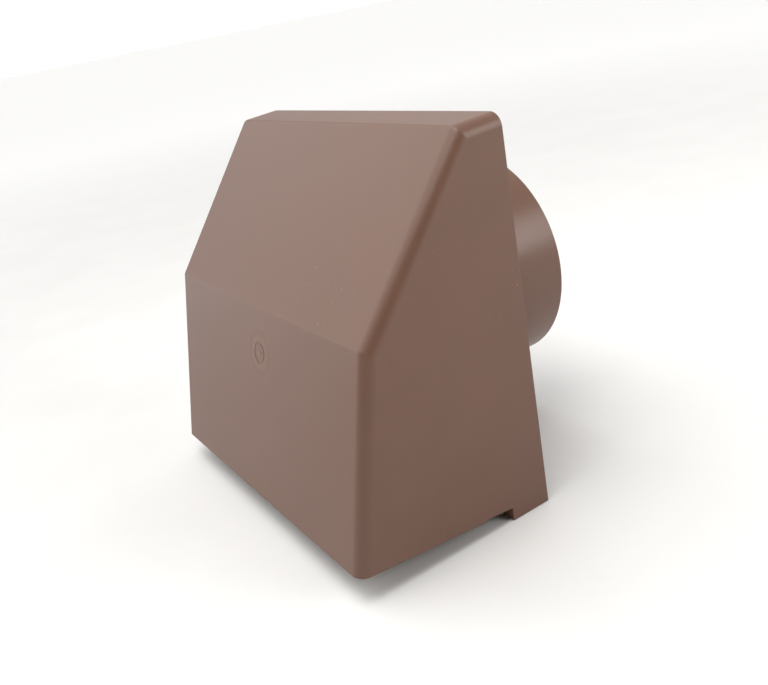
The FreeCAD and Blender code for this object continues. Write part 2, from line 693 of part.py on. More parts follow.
def make_wall_gasket():
    body = new_body("wall_gasket")
    ring = new_sketch(body, "GasketRing", "XZ_Plane")
    add_rectangle(ring, f"-{GASKET_HALF}", GASKET_HALF, f"-{GASKET_BOTTOM}", GASKET_TOP)
    add_rectangle(ring, f"-({GASKET_HALF} - gasket_width)", f"{GASKET_HALF} - gasket_width",
                  f"-({GASKET_BOTTOM} - gasket_width)", f"{GASKET_TOP} - gasket_width")
    extrude(body, "Pad", "Gasket", ring, "gasket_depth")
    return body


# ---------------------------------------------------------------- flap, its seat and hinge
def make_seat_seal():
    body = new_body("flap_seat_seal")
    ring = new_sketch(body, "SealRing", "XZ_Plane")
    add_circle(ring, "0", "0", SEAT_OUTER)
    add_circle(ring, "0", "0", SPIGOT_BORE)
    extrude(body, "Pad", "Seal", ring, "seal_thickness")
    body.Placement = seat_frame()
    return body


def lift(sketch, formula):
    """Moves a sketch out along its plane's normal."""
    sketch.setExpression("AttachmentOffset.Base.z", named(formula))


def make_flap():
    body = new_body("damper_flap")
    behind = "seal_thickness + seal_gap"
    face = f"{behind} + flap_thickness"

    disc = new_sketch(body, "FlapDisc", "XZ_Plane")
    add_circle(disc, "0", "0", FLAP_RADIUS)
    lift(disc, behind)
    extrude(body, "Pad", "Disc", disc, "flap_thickness")

    straps = new_sketch(body, "FlapStraps", "XZ_Plane")
    for side in ("", "-"):
        add_rectangle(straps, f"{side}knuckle_inner", f"{side}(knuckle_inner + knuckle_length)",
                      f"{WEIGHT_DROP} + rib_width", HINGE_RISE)
    lift(straps, behind)
    extrude(body, "Pad", "Straps", straps, "flap_thickness")

    rim = new_sketch(body, "RimRib", "XZ_Plane")
    add_circle(rim, "0", "0", RIM_RADIUS)
    add_circle(rim, "0", "0", f"{RIM_RADIUS} - rib_width")
    lift(rim, face)
    extrude(body, "Pad", "Rim", rim, "rib_height")

    ribs = new_sketch(body, "CrossRibs", "XZ_Plane")
    inner = f"({RIM_RADIUS} - rib_width / 2)"
    arm = "(rib_width / 2)"
    low = f"({WEIGHT_DROP} - weight_height)"
    add_polygon(ribs, [(f"-{arm}", f"-{low}"), (arm, f"-{low}"), (arm, f"-{arm}"),
                       (inner, f"-{arm}"), (inner, arm), (arm, arm), (arm, inner),
                       (f"-{arm}", inner), (f"-{arm}", arm), (f"-{inner}", arm),
                       (f"-{inner}", f"-{arm}"), (f"-{arm}", f"-{arm}")])
    lift(ribs, face)
    extrude(body, "Pad", "Cross", ribs, "rib_height")

    channel = new_sketch(body, "WeightChannel", "XZ_Plane")
    half = "(weight_height / 2 + weight_gap)"
    for edge in ("", "-"):
        add_rectangle(channel, "-weight_length / 2", "weight_length / 2",
                      f"{edge}{half} - {WEIGHT_DROP}", f"{edge}({half} + rib_width) - {WEIGHT_DROP}")
    lift(channel, face)
    extrude(body, "Pad", "Channel", channel, "rib_height")

    knuckles = new_sketch(body, "Knuckles", "YZ_Plane")
    add_circle(knuckles, f"-{FLAP_MIDDLE}", HINGE_RISE, KNUCKLE_RADIUS)
    extrude(body, "Pad", "KnuckleBar", knuckles, "2 * (knuckle_inner + knuckle_length)", both_ways=True)
    middle = new_sketch(body, "KnuckleGap", "YZ_Plane")
    add_circle(middle, f"-{FLAP_MIDDLE}", HINGE_RISE, f"{KNUCKLE_RADIUS} + seal_gap")
    extrude(body, "Pocket", "KnuckleSplit", middle, "2 * knuckle_inner", both_ways=True)
    bore = new_sketch(body, "KnuckleBore", "YZ_Plane")
    add_circle(bore, f"-{FLAP_MIDDLE}", HINGE_RISE, f"{BUSH_RADIUS} + pin_grip")
    extrude(body, "Pocket", "BushBore", bore, f"2 * (knuckle_inner + knuckle_length + {REACH})",
            both_ways=True)
    body.Placement = seat_frame()
    return body


def make_closing_weight():
    front = size.seal_thickness + size.seal_gap + size.flap_thickness + size.weight_thickness
    drop = size.spigot_radius - size.spigot_wall - size.rim_rib_inset - size.weight_inset
    return primitive("Box", "flap_closing_weight",
                     {"Length": "weight_length", "Width": "weight_thickness",
                      "Height": "weight_height"},
                     seat_frame() * at(-size.weight_length / 2, -front,
                                       -drop - size.weight_height / 2))


def hinge_frame(x):
    """A frame on the hinge line, X out from the middle, its Z along the line."""
    middle = size.seal_thickness + size.seal_gap + size.flap_thickness / 2
    return seat_frame() * FreeCAD.Placement(FreeCAD.Vector(x, -middle, hinge_rise()), ALONG_X)


def lug_outer():
    return size.knuckle_inner + size.knuckle_length + size.lug_gap + size.lug_thickness


def make_hinge_pin():
    reach = lug_outer() + size.pin_overhang
    pin = primitive("Cylinder", "flap_hinge_pin", {"Radius": "pin_radius",
                                                   "Height": f"2 * ({LUG_OUTER} + pin_overhang)"},
                    hinge_frame(-reach))
    document.recompute()
    return pin


def tube(label, outer, inner, length, placement):
    shell = primitive("Cylinder", label + "_outside", {"Radius": outer, "Height": length}, placement)
    hole = primitive("Cylinder", label + "_inside", {"Radius": inner, "Height": length}, placement)
    return cut(label, shell, [hole])


def make_bush(side):
    """A nylon bush in a knuckle, with a flange towards the lug."""
    name = "flap_bush_right" if side > 0 else "flap_bush_left"
    near = size.knuckle_inner
    far = near + size.knuckle_length
    inner = "pin_radius + bush_clearance"
    sleeve = tube(name + "_sleeve", BUSH_RADIUS, inner, "knuckle_length",
                  hinge_frame(near if side > 0 else -far))
    flange = tube(name + "_flange", KNUCKLE_RADIUS, inner, "bush_flange",
                  hinge_frame(far if side > 0 else -far - size.bush_flange))
    return join(name, [sleeve, flange])


def make_pin_clips():
    near = lug_outer() + size.clip_gap
    starts = (near, -near - size.clip_thickness)
    clips = [tube(f"pin_clip_{i}", "clip_radius", "pin_radius + pin_grip", "clip_thickness",
                  hinge_frame(x)) for i, x in enumerate(starts)]
    return group("pin_retaining_clips", clips)


def make_buffer(side):
    body = new_body("flap_buffer_right" if side > 0 else "flap_buffer_left")
    foot = new_sketch(body, "BufferFoot", "XY_Plane")
    add_circle(foot, "0", "0", "buffer_radius")
    button = extrude(body, "Pad", "BufferButton", foot, "buffer_height")

    def top_edge(edge):
        return edge.CenterOfMass.z > size.buffer_height - NEAR

    fillet(body, "BufferRound", button, edges_where(button.Shape, top_edge), "buffer_round")
    body.Placement = buffer_frame(side)
    return body


# ---------------------------------------------------------------- grille, insect screen and frame
def mouth_plate(label, start, thickness, inset):
    """A plate of the mouth's outline, with the four screws' holes."""
    body = new_body(label)
    outline = new_sketch(body, label + "_outline", "XY_Plane")
    rear = f"-(grille_gap + {inset})"
    front = f"-({GRILLE_FRONT} - {inset})"
    add_polygon(outline, [(f"-({REAR_HALF} - {inset})", rear), (f"-({FRONT_HALF} - {inset})", front),
                          (f"{FRONT_HALF} - {inset}", front), (f"{REAR_HALF} - {inset}", rear)])
    lift(outline, start)
    plate = extrude(body, "Pad", label + "_plate", outline, thickness)

    def upright(edge):
        return abs(edge.Vertexes[0].Z - edge.Vertexes[-1].Z) > NEAR

    fillet(body, label + "_corners", plate, edges_where(plate.Shape, upright), "grille_corner")
    holes = new_sketch(body, label + "_holes", "XY_Plane")
    for side in ("", "-"):
        add_circle(holes, f"{side}({REAR_HALF} - grille_screw_inset)",
                   "-(grille_gap + grille_screw_inset)", "grille_screw_radius + screw_clearance")
        add_circle(holes, f"{side}({FRONT_HALF} - grille_screw_inset)",
                   f"-({GRILLE_FRONT} - grille_screw_inset)", "grille_screw_radius + screw_clearance")
    extrude(body, "Pocket", label + "_screw_holes", holes, f"4 * {STACK}", both_ways=True)
    body.Placement = mouth_frame()
    return body


def make_grille():
    body = mouth_plate("bird_grille", "mouth_recess", "grille_thickness", "0")
    slots = new_sketch(body, "Slots", "XY_Plane")
    middle = f"((grille_gap + {GRILLE_FRONT}) / 2)"
    rows = [("-(grille_gap + grille_rim)", f"-({middle} - bar_width / 2)"),
            (f"-({middle} + bar_width / 2)", f"-({GRILLE_FRONT} - grille_rim)")]
    half_row = grille_corner(1, True)[0] - size.grille_rim - size.slot_width / 2
    each_side = int(half_row / (size.slot_width + size.bar_width))
    for count in range(-each_side, each_side + 1):
        left = f"{count} * (slot_width + bar_width) - slot_width / 2"
        for rear, front in rows:
            add_rectangle(slots, left, f"{left} + slot_width", front, rear)
    extrude(body, "Pocket", "GrilleSlots", slots, f"4 * {STACK}", both_ways=True)
    return body


def make_screen():
    return mouth_plate("insect_screen", "mouth_recess + grille_thickness", "screen_thickness",
                       "screen_inset")


def make_screen_frame():
    body = mouth_plate("screen_frame", "mouth_recess + grille_thickness + screen_thickness",
                       "frame_thickness", "0")
    window = new_sketch(body, "Window", "XY_Plane")
    rear = "-(grille_gap + frame_width)"
    front = f"-({GRILLE_FRONT} - frame_width)"
    add_polygon(window, [(f"-({REAR_HALF} - frame_width)", rear), (f"-({FRONT_HALF} - frame_width)", front),
                         (f"{FRONT_HALF} - frame_width", front), (f"{REAR_HALF} - frame_width", rear)])
    extrude(body, "Pocket", "FrameWindow", window, f"4 * {STACK}", both_ways=True)
    return body


# ---------------------------------------------------------------- screws, washers and inserts
def make_screw(name, head, place):
    """A pan-head screw with a cross recess. The head's underside is at the place, the shank up Z."""
    head_radius = getattr(size, f"{head}_head_radius")
    below = place * at(0, 0, -getattr(size, f"{head}_head_height"))
    cap = primitive("Cylinder", name + "_head", {"Radius": f"{head}_head_radius",
                                                 "Height": f"{head}_head_height"}, below)
    shank = primitive("Cylinder", name + "_shank", {"Radius": f"{head}_screw_radius",
                                                    "Height": f"{head}_screw_length"}, place)
    arms = []
    for turn in (0, 90):
        corner = at(0, 0, 0, (0, 0, 1), turn) * at(-head_radius / 2,
                                                   -head_radius * size.recess_width / 2, -MARGIN)
        arms.append(primitive("Box", name + "_recess",
                              {"Length": f"{head}_head_radius",
                               "Width": f"{head}_head_radius * recess_width",
                               "Height": f"recess_depth + {REACH}"}, below * corner))
    return cut(name, join(name + "_blank", [cap, shank]), arms)


def make_grille_screws():
    screws = []
    for side in (-1, 1):
        for front in (False, True):
            name = f"grille_screw_{len(screws) + 1}"
            screws.append(make_screw(name, "grille", grille_screw_frame(side, front)))
    return group("grille_screws", screws)


def hood_screw_place(side, height):
    """A point on a hood screw's axis, at a height above the foot's underside."""
    return at(side * size.screw_offset, -size.screw_depth, height - size.foot_drop)


def make_hood_screws():
    seat = size.counterbore_depth - size.washer_thickness
    screws = [make_screw(f"hood_screw_{i}", "hood", hood_screw_place(side, seat))
              for i, side in enumerate((-1, 1), start=1)]
    return group("hood_screws", screws)


def make_washers():
    seat = size.counterbore_depth - size.washer_thickness
    washers = [tube(f"washer_{i}", "washer_radius", "hood_screw_radius + screw_clearance",
                    "washer_thickness", hood_screw_place(side, seat))
               for i, side in enumerate((-1, 1), start=1)]
    return group("hood_screw_washers", washers)


def make_inserts():
    seat = size.foot_drop - plate_bottom()
    inserts = [tube(f"insert_{i}", INSERT_RADIUS, "hood_screw_radius + thread_clearance",
                    "insert_length", hood_screw_place(side, seat))
               for i, side in enumerate((-1, 1), start=1)]
    return group("thread_inserts", inserts)


# ---------------------------------------------------------------- the whole vent
NODES = [make_hood(), make_back_plate(), make_wall_gasket(), make_seat_seal(), make_flap(),
         make_closing_weight(), make_hinge_pin(), make_bush(-1), make_bush(1), make_pin_clips(),
         make_buffer(-1), make_buffer(1), make_grille(), make_screen(), make_screen_frame(),
         make_grille_screws(), make_hood_screws(), make_washers(), make_inserts()]
document.recompute()

failed = [item.Name for item in document.Objects
          if "Invalid" in item.State or "Error" in item.State]
failed += [node.Label for node in NODES if node.Shape.isNull() or not node.Shape.isValid()]
if failed:
    raise RuntimeError("these features failed: " + ", ".join(failed))

for node in NODES:
    solids = len(node.Shape.Solids)
    print(f"{node.Label}: {solids} solid(s), {node.Shape.Volume / 1000:.2f} cm3")
    node.Shape.exportStep(f"parts/{node.Label}.step")
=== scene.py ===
"""Wall cowl vent: the looks of its pieces, the light and the camera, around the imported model.

Metres, +Z up. The wall plane is Y = 0, the hood stands out towards -Y and the duct spigot points
along +Y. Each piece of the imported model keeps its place; the pieces finished here stand exactly
where theirs do.
"""
import math

import bpy
from mathutils import Matrix, Vector


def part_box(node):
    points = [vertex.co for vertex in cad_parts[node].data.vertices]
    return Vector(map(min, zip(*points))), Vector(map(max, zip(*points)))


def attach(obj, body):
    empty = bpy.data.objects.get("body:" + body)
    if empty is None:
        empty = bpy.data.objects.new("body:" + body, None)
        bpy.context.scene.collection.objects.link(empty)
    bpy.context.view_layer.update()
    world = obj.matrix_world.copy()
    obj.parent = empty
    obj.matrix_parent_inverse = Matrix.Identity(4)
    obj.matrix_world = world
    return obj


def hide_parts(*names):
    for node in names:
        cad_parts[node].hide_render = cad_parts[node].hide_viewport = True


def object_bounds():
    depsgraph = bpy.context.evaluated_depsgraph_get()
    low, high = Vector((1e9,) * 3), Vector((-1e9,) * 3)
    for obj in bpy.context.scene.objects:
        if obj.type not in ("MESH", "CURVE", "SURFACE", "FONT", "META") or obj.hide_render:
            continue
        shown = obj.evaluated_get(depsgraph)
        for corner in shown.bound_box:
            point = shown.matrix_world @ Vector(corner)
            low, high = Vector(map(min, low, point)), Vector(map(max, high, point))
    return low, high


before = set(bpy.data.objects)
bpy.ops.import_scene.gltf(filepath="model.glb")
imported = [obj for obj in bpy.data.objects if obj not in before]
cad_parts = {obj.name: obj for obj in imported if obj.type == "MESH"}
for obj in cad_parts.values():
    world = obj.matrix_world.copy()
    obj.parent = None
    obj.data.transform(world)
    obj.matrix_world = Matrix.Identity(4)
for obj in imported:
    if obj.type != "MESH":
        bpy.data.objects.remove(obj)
cad_low, cad_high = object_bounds()

MM = 0.001

# the hood's outline at its middle, from the crease to the lip of its front
CREASE = Vector((0.0, -68.0, 17.8)) * MM
LIP = Vector((0.0, -88.4, -62.7)) * MM
GATE_DOWN = 19.0 * MM           # moulding gate, down the front from the crease
GATE_ACROSS = Vector((4.0, 0.0, 0.0)) * MM
GATE = CREASE + GATE_ACROSS + (LIP - CREASE).normalized() * GATE_DOWN


# ---------------------------------------------------------------- materials: how they are mixed
class Signal:
    """One output in a node tree. Arithmetic on it adds the Math nodes."""

    def __init__(self, nodes, socket):
        self.nodes = nodes
        self.socket = socket

    def _math(self, operation, first, second=None):
        sockets = {0: first} if second is None else {0: first, 1: second}
        return self.nodes.node("ShaderNodeMath", {"operation": operation}, sockets)

    def __add__(self, other):
        return self._math("ADD", self, other)

    __radd__ = __add__

    def __sub__(self, other):
        return self._math("SUBTRACT", self, other)

    def __rsub__(self, other):
        return self._math("SUBTRACT", other, self)

    def __mul__(self, other):
        return self._math("MULTIPLY", self, other)

    __rmul__ = __mul__

    def __abs__(self):
        return self._math("ABSOLUTE", self)

    def above(self, low, high):
        """0 below low, 1 above high, smooth between."""
        return self.nodes.node("ShaderNodeMapRange", {"interpolation_type": "SMOOTHSTEP"},
                               {"Value": self, "From Min": low, "From Max": high})

    def sine(self):
        return self._math("SINE", self)

    def or_more(self, other):
        return self._math("MAXIMUM", self, other)


class Nodes:
    """A node tree being filled."""

    def __init__(self, tree):
        self.tree = tree

    def node(self, kind, settings=None, sockets=None, output=0):
        """Adds a node: its settings first, then values or links for its sockets."""
        made = self.tree.nodes.new(kind)
        for key, value in (settings or {}).items():
            setattr(made, key, value)
        for key, value in (sockets or {}).items():
            self.feed(made.inputs[key], value)
        return Signal(self, made.outputs[output])

    def feed(self, socket, value):
        if isinstance(value, Signal):
            self.tree.links.new(value.socket, socket)
        else:
            socket.default_value = value


class Finish(Nodes):
    """A material being mixed. Object coordinates, in metres, place every pattern."""

    def __init__(self, name):
        self.material = bpy.data.materials.new(name)
        self.material.use_nodes = True
        super().__init__(self.material.node_tree)
        self.shader = self.tree.nodes["Principled BSDF"]
        self.place = self.node("ShaderNodeTexCoord", output="Object")

    def set(self, **sockets):
        """Values or links for the shader's own sockets, with _ for each space."""
        for key, value in sockets.items():
            self.feed(self.shader.inputs[key.replace("_", " ")], value)

    def noise(self, per_metre, detail=2.0, stretch=(1, 1, 1), roughness=0.5):
        place = self.node("ShaderNodeMapping", {"vector_type": "POINT"},
                          {"Vector": self.place, "Scale": stretch})
        return self.node("ShaderNodeTexNoise", {"noise_dimensions": "3D"},
                         {"Vector": place, "Scale": per_metre, "Detail": detail,
                          "Roughness": roughness})

    def cells(self, per_metre):
        return self.node("ShaderNodeTexVoronoi", {"feature": "F1"},
                         {"Vector": self.place, "Scale": per_metre}, output="Distance")

    def mix(self, share, first, second):
        return self.node("ShaderNodeMix", {"data_type": "RGBA"},
                         {0: share, 6: first, 7: second}, output=2)

    def distance(self, point):
        return self.node("ShaderNodeVectorMath", {"operation": "DISTANCE"},
                         {0: self.place, 1: point}, output="Value")

    def bump(self, height, depth, strength=1.0, under=None):
        """Relief of a depth in metres; height runs from 0 to 1."""
        sockets = {"Height": height, "Distance": depth, "Strength": strength}
        if under is not None:
            sockets["Normal"] = under
        return self.node("ShaderNodeBump", {}, sockets, output="Normal")


def grey(value):
    return (value, value, value, 1.0)


def tinted(colour, factor):
    return tuple(min(1.0, part * factor) for part in colour[:3]) + (1.0,)


# ---------------------------------------------------------------- materials of this vent
def moulded_plastic(name, colour, gates=(), sheen=0.43):
    """Satin moulded plastic: fine spark texture, faint flow tone, hairlines and a little dust."""
    finish = Finish(name)
    flow = finish.noise(9.0, detail=2.0, stretch=(1.0, 0.5, 0.45))
    cloud = finish.noise(55.0, detail=3.0)
    spark = finish.noise(2600.0, detail=2.0, roughness=0.6)
    hairline = finish.noise(420.0, detail=1.0, stretch=(1.0, 1.0, 0.03))
    scuff = hairline.above(0.70, 0.76) * finish.noise(30.0).above(0.52, 0.66)
    specks = finish.cells(330.0)
    dust = (1.0 - specks.above(0.035, 0.075)) * finish.noise(21.0).above(0.56, 0.64)

    tone = flow * 0.5 + cloud * 0.3 + spark * 0.2
    base = finish.mix(tone.above(0.35, 0.65), tinted(colour, 0.95), tinted(colour, 1.05))
    rough = sheen + 0.06 * (cloud - 0.5) + 0.05 * (flow - 0.5)
    for gate in gates:
        away = finish.distance(gate)
        # the gate mark: rings of lighter and darker colour and a bright middle, partly the
        # plastic's real gate blush, partly painted highlight and painted shade standing in for the
        # gate's relief
        gate_blush_and_painted_light = away.above(0.0015, 0.0045) * (1.0 - away.above(0.0055, 0.0150))
        swirl = (away * 1100.0 + 2.5 * finish.noise(150.0)).sine() * 0.5 + 0.5
        base = finish.mix(gate_blush_and_painted_light * swirl * 0.42, base, tinted(colour, 1.45))
        base = finish.mix(gate_blush_and_painted_light * (1.0 - swirl) * 0.28, base, tinted(colour, 0.78))
        # the bright middle is a painted highlight on the gate's nub
        base = finish.mix((1.0 - away.above(0.0006, 0.0018)) * 0.6, base, tinted(colour, 1.7))
    base = finish.mix(scuff * 0.25, base, tinted(colour, 1.35))
    base = finish.mix(dust * 0.55, base, (0.62, 0.58, 0.54, 1.0))
    fine = finish.bump(spark, 0.012 * MM, 0.55)
    fine = finish.bump(scuff, 0.004 * MM, 0.6, under=fine)
    finish.set(Base_Color=base, Roughness=rough + 0.18 * dust, Normal=fine,
               IOR=1.5)
    return finish.material


def closed_foam():
    finish = Finish("closed_cell_foam")
    cell = finish.cells(1500.0)
    clump = finish.noise(160.0, detail=3.0)
    base = finish.mix(clump.above(0.35, 0.65), grey(0.035), grey(0.065))
    base = finish.mix(cell.above(0.25, 0.6) * 0.4, base, grey(0.015))
    finish.set(Base_Color=base, Roughness=0.9 + 0.08 * (clump - 0.5),
               Normal=finish.bump(1.0 - cell.above(0.1, 0.7), 0.15 * MM, 0.8))
    return finish.material


def moulded_rubber(name, value):
    finish = Finish(name)
    bloom = finish.noise(70.0, detail=3.0)
    grain = finish.noise(1900.0, detail=2.0)
    base = finish.mix(bloom.above(0.4, 0.7), grey(value), grey(value * 1.9))
    finish.set(Base_Color=base, Roughness=0.68 + 0.15 * (bloom - 0.5),
               Normal=finish.bump(grain, 0.02 * MM, 0.6))
    return finish.material


def natural_nylon():
    finish = Finish("natural_nylon")
    milk = finish.noise(110.0, detail=2.0)
    grain = finish.noise(1600.0, detail=2.0)
    base = finish.mix(milk.above(0.35, 0.65), (0.70, 0.67, 0.60, 1), (0.80, 0.78, 0.72, 1))
    finish.set(Base_Color=base, Roughness=0.42 + 0.1 * (milk - 0.5),
               Normal=finish.bump(grain, 0.01 * MM, 0.5), Subsurface_Weight=0.08,
               Subsurface_Scale=0.002)
    return finish.material


def bright_metal(name, colour, stretch, rough, per_metre=900.0):
    """Metal with drawn or turned lines along one way, and a few dull fingermarks."""
    finish = Finish(name)
    lines = finish.noise(per_metre, detail=2.0, stretch=stretch)
    marks = finish.noise(85.0, detail=3.0)
    base = finish.mix(lines.above(0.3, 0.7), tinted(colour, 0.88), tinted(colour, 1.08))
    finish.set(Base_Color=base, Metallic=1.0,
               Roughness=rough + 0.12 * (lines - 0.5) + 0.14 * marks.above(0.5, 0.8),
               Normal=finish.bump(lines, 0.006 * MM, 0.6))
    return finish.material


def zinc_plate():
    finish = Finish("zinc_plate")
    spangle = finish.cells(420.0)
    cloud = finish.noise(140.0, detail=3.0)
    base = finish.mix(spangle.above(0.1, 0.7), (0.50, 0.53, 0.57, 1), (0.66, 0.68, 0.70, 1))
    base = finish.mix(cloud.above(0.6, 0.8) * 0.5, base, (0.60, 0.56, 0.46, 1))
    finish.set(Base_Color=base, Metallic=1.0, Roughness=0.36 + 0.2 * (cloud - 0.5),
               Normal=finish.bump(cloud, 0.01 * MM, 0.5))
    return finish.material


def give(piece, material):
    piece.data.materials.clear()
    piece.data.materials.append(material)


BROWN = (0.141, 0.068, 0.044)
DARK_BROWN = (0.118, 0.058, 0.042)

hood_plastic = moulded_plastic("hood_plastic", BROWN, gates=[GATE])
plate_plastic = moulded_plastic("plate_plastic", BROWN, sheen=0.35)
grille_plastic = moulded_plastic("grille_plastic", tinted(BROWN, 0.96))
flap_plastic = moulded_plastic("flap_plastic", DARK_BROWN, sheen=0.38)
foam = closed_foam()
seal_rubber = moulded_rubber("seal_rubber", 0.022)
buffer_rubber = moulded_rubber("buffer_rubber", 0.028)
nylon = natural_nylon()
turned_steel = bright_metal("turned_stainless", (0.62, 0.61, 0.59), (1, 1, 1), 0.24)
drawn_steel = bright_metal("drawn_stainless", (0.60, 0.60, 0.59), (0.02, 1, 1), 0.22)
spring_steel = bright_metal("spring_steel", (0.55, 0.54, 0.53), (1, 0.3, 0.3), 0.30)
wire_steel = bright_metal("wire_steel", (0.52, 0.52, 0.51), (1, 1, 1), 0.33, 500.0)
turned_brass = bright_metal("turned_brass", (0.72, 0.55, 0.26), (1, 1, 0.05), 0.28)
zinc = zinc_plate()

FINISHES = {
    "cowl_hood": hood_plastic, "back_plate": plate_plastic, "bird_grille": grille_plastic,
    "screen_frame": grille_plastic, "damper_flap": flap_plastic, "wall_gasket": foam,
    "flap_seat_seal": seal_rubber, "flap_buffer_left": buffer_rubber,
    "flap_buffer_right": buffer_rubber, "flap_closing_weight": zinc,
    "flap_hinge_pin": drawn_steel, "flap_bush_left": nylon, "flap_bush_right": nylon,
    "pin_retaining_clips": spring_steel, "insect_screen": wire_steel,
    "grille_screws": turned_steel, "hood_screws": turned_steel, "hood_screw_washers": nylon,
    "thread_inserts": turned_brass,
}
for node, material in FINISHES.items():
    give(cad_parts[node], material)


# ---------------------------------------------------------------- working on pieces
def only(piece):
    """Makes one piece the selected and active one."""
    bpy.ops.object.select_all(action="DESELECT")
    piece.select_set(True)
    bpy.context.view_layer.objects.active = piece


def copy_of(node, name):
    """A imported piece's shape as a new object, its loose triangles joined into whole faces."""
    only(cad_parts[node])
    bpy.ops.object.duplicate()
    piece = bpy.context.object
    piece.parent = None
    for key in list(piece.keys()):
        del piece[key]
    piece.name = name
    piece.data.name = name
    bpy.ops.object.mode_set(mode="EDIT")
    bpy.ops.mesh.customdata_custom_splitnormals_clear()
    bpy.ops.mesh.select_all(action="SELECT")
    bpy.ops.mesh.remove_doubles(threshold=0.002 * MM)
    bpy.ops.mesh.dissolve_limited(angle_limit=math.radians(0.3))
    bpy.ops.mesh.select_all(action="DESELECT")
    bpy.ops.object.mode_set(mode="OBJECT")
    return piece


def apply_all(piece):
    only(piece)
    for modifier in list(piece.modifiers):
        bpy.ops.object.modifier_apply(modifier=modifier.name)


def sharp_edges(piece, from_angle):
    """Edges where two faces meet at more than an angle."""
    meeting = {}
    for face in piece.data.polygons:
        for key in face.edge_keys:
            meeting.setdefault(key, []).append(face.normal)
    for edge in piece.data.edges:
        normals = meeting.get(edge.key, [])
        if len(normals) == 2 and normals[0].angle(normals[1], 0.0) > math.radians(from_angle):
            yield edge


def middle_of(piece, edge):
    first, second = (piece.data.vertices[index].co for index in edge.vertices)
    return (first + second) / 2


def round_edges(piece, width, steps=2, chosen=None, from_angle=35.0):
    """Breaks the sharp edges, as a mould or a tool does; chosen says which, by their middles."""
    weight = piece.data.attributes.new("bevel_weight_edge", "FLOAT", "EDGE")
    for edge in sharp_edges(piece, from_angle):
        if chosen is None or chosen(middle_of(piece, edge)):
            weight.data[edge.index].value = 1.0
    bevel = piece.modifiers.new("broken_edges", "BEVEL")
    bevel.width = width
    bevel.segments = steps
    bevel.limit_method = "WEIGHT"
    bevel.use_clamp_overlap = False
    apply_all(piece)


def smooth(piece, angle=32.0):
    """Smooth over curves and broken edges, with flat faces kept flat."""
    only(piece)
    bpy.ops.object.shade_smooth_by_angle(angle=math.radians(angle))
    flat = piece.modifiers.new("flat_faces", "WEIGHTED_NORMAL")
    flat.keep_sharp = True
    flat.weight = 100
    apply_all(piece)


def settle(piece, body, slot, material, *nodes):
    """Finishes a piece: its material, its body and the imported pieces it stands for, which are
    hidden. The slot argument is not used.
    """
    give(piece, material)
    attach(piece, body)
    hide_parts(*nodes)


def finished(node, body, slot, width, steps=2, chosen=None):
    """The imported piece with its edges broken."""
    piece = copy_of(node, "finished_" + node)
    round_edges(piece, width, steps, chosen)
    smooth(piece)
    settle(piece, body, slot, FINISHES[node], node)


def hood_rim(middle):
    """The hood's edges at the wall and round the mouth; its long edges are round already."""
    return middle.y > -1.0 * MM or middle.z < LIP.z + 3.0 * MM


finished("cowl_hood", "housing", "hood_plastic", 0.30 * MM, chosen=hood_rim)
finished("back_plate", "housing", "hood_plastic", 0.22 * MM)
finished("bird_grille", "housing", "hood_plastic", 0.40 * MM)
finished("screen_frame", "housing", "hood_plastic", 0.30 * MM)
finished("damper_flap", "flap", "flap_plastic", 0.15 * MM)
finished("flap_closing_weight", "flap", "zinc_steel", 0.35 * MM)
finished("flap_hinge_pin", "housing", "stainless", 0.30 * MM)
finished("hood_screw_washers", "housing", "nylon", 0.12 * MM)
finished("flap_seat_seal", "housing", "rubber", 0.25 * MM)
finished("wall_gasket", "housing", "foam", 0.30 * MM)


# ---------------------------------------------------------------- screws
FOOT_FRONT = -18.3 * MM
MOUTH_REAR = -69.5 * MM
MOUTH_SLOPE = math.atan2(LIP.z - MOUTH_REAR, FOOT_FRONT - LIP.y)
MOUTH = Matrix.Translation((0.0, FOOT_FRONT, MOUTH_REAR)) @ Matrix.Rotation(-MOUTH_SLOPE, 4, "X")


SAME_LEVEL = 0.02 * MM          # how nearly two heights agree


def middles_of_heads(corners, head_radius):
    """Gathers the corners of several flat heads by nearness, and gives each head's middle."""
    heads = []
    for corner in corners:
        near = [head for head in heads if (corner - head[0]).length < 3.0 * head_radius]
        if near:
            near[0].append(corner)
        else:
            heads.append([corner])
    for head in heads:
        across = [corner.x for corner in head]
        along = [corner.y for corner in head]
        yield Vector(((min(across) + max(across)) / 2, (min(along) + max(along)) / 2, head[0].z))


def pan_heads(node, own_frame, head_radius, crown):
    """Screws with domed pan heads: the rim of each flat head is rounded right over."""
    piece = copy_of(node, "finished_" + node)
    piece.data.transform(own_frame.inverted())
    corners = [vertex.co.copy() for vertex in piece.data.vertices]
    lowest = min(corner.z for corner in corners)
    on_heads = [corner for corner in corners if corner.z < lowest + SAME_LEVEL]
    middles = list(middles_of_heads(on_heads, head_radius))

    def on_rim(corner, middle):
        return (abs(corner.z - lowest) < SAME_LEVEL
                and abs((corner - middle).length - head_radius) < 0.05 * MM)

    only(piece)
    bpy.ops.object.mode_set(mode="EDIT")
    bpy.ops.mesh.select_mode(type="EDGE")
    bpy.ops.mesh.select_all(action="DESELECT")
    bpy.ops.object.mode_set(mode="OBJECT")
    for edge in piece.data.edges:
        ends = [corners[index] for index in edge.vertices]
        edge.select = any(all(on_rim(end, middle) for end in ends) for middle in middles)
    bpy.ops.object.mode_set(mode="EDIT")
    bpy.ops.mesh.bevel(offset=crown, segments=6, profile=0.5)
    bpy.ops.object.mode_set(mode="OBJECT")
    piece.data.transform(own_frame)
    smooth(piece, 28.0)
    settle(piece, "housing", "stainless", FINISHES[node], node)


pan_heads("hood_screws", Matrix.Identity(4), 3.8 * MM, 1.5 * MM)
pan_heads("grille_screws", MOUTH, 2.8 * MM, 1.2 * MM)


# ---------------------------------------------------------------- clips on the hinge pin
FINGERS = 6
FINGER_LEAN = 0.35 * MM         # how far the fingers lean along the pin
CLIP_SHEET = 0.30 * MM          # the spring steel's thickness


